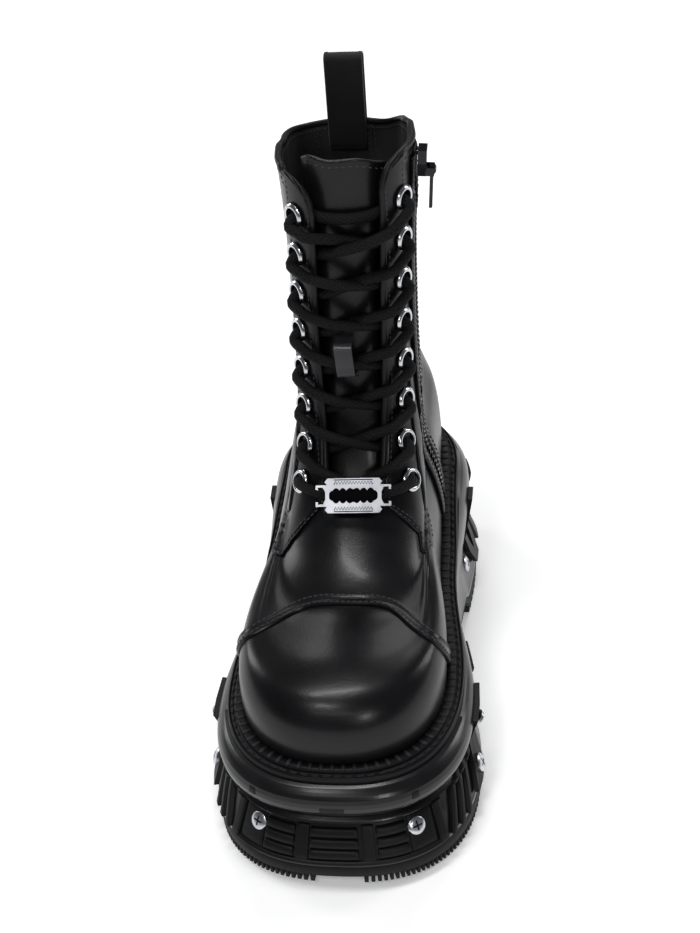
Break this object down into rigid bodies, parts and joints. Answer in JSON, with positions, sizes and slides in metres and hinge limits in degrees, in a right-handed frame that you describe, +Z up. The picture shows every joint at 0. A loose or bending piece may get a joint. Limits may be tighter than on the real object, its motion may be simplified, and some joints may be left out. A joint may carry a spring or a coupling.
{
  "type": "platform boot",
  "caption": "Right lace-up platform boot with a medial zip, a pull loop and a thick lugged rubber sole.",
  "frame": {"origin": "on the floor under the middle of the sole's bounding box", "axes": "+Z up, the toe points along -Y, +X is the medial side with the zip"},
  "size_m": [0.1382, 0.3011, 0.312],
  "materials": {
    "rubber": "satin",
    "leather": "semi-gloss",
    "lining": "matte",
    "webbing": "matte",
    "steel": "polished",
    "black_metal": "gloss"
  },
  "bodies": {
    "boot": {"charm": "steel", "eyelet_lateral_1": "steel", "eyelet_lateral_2": "steel", "eyelet_lateral_3": "steel", "eyelet_lateral_4": "steel", "eyelet_lateral_5": "steel", "eyelet_lateral_6": "steel", "eyelet_lateral_7": "steel", "eyelet_lateral_8": "steel", "eyelet_medial_1": "steel", "eyelet_medial_2": "steel", "eyelet_medial_3": "steel", "eyelet_medial_4": "steel", "eyelet_medial_5": "steel", "eyelet_medial_6": "steel", "eyelet_medial_7": "steel", "eyelet_medial_8": "steel", "heel_ring_lateral": "rubber", "heel_ring_medial": "rubber", "insole": "lining", "lace_bar_bottom": "webbing", "lace_bar_top": "webbing", "lace_cross_1": "webbing", "lace_cross_2": "webbing", "lace_cross_3": "webbing", "lace_cross_4": "webbing", "lace_cross_5": "webbing", "lace_cross_6": "webbing", "lace_cross_7": "webbing", "lace_keeper": "leather", "outsole": "rubber", "platform": "rubber", "pull_loop": "webbing", "screw_front_lateral": "steel", "screw_front_medial": "steel", "screw_heel_lateral": "steel", "screw_heel_medial": "steel", "screw_side_lower_lateral": "steel", "screw_side_lower_medial": "steel", "screw_side_upper_lateral": "steel", "screw_side_upper_medial": "steel", "side_plate_lateral": "rubber", "side_plate_medial": "rubber", "tongue": "leather", "upper": "leather", "welt": "rubber", "zip_chain": "webbing", "zip_slider": "black_metal"},
    "zip_pull": {"zip_pull_tab": "black_metal"}
  },
  "joints": [
    {"name": "pull_tab_swing", "type": "hinge", "parent": "boot", "child": "zip_pull", "pos_m": [0.04342, 0.04884, 0.27936], "axis": [0.0052, -1, 0], "range_deg": [0, 150]}
  ]
}
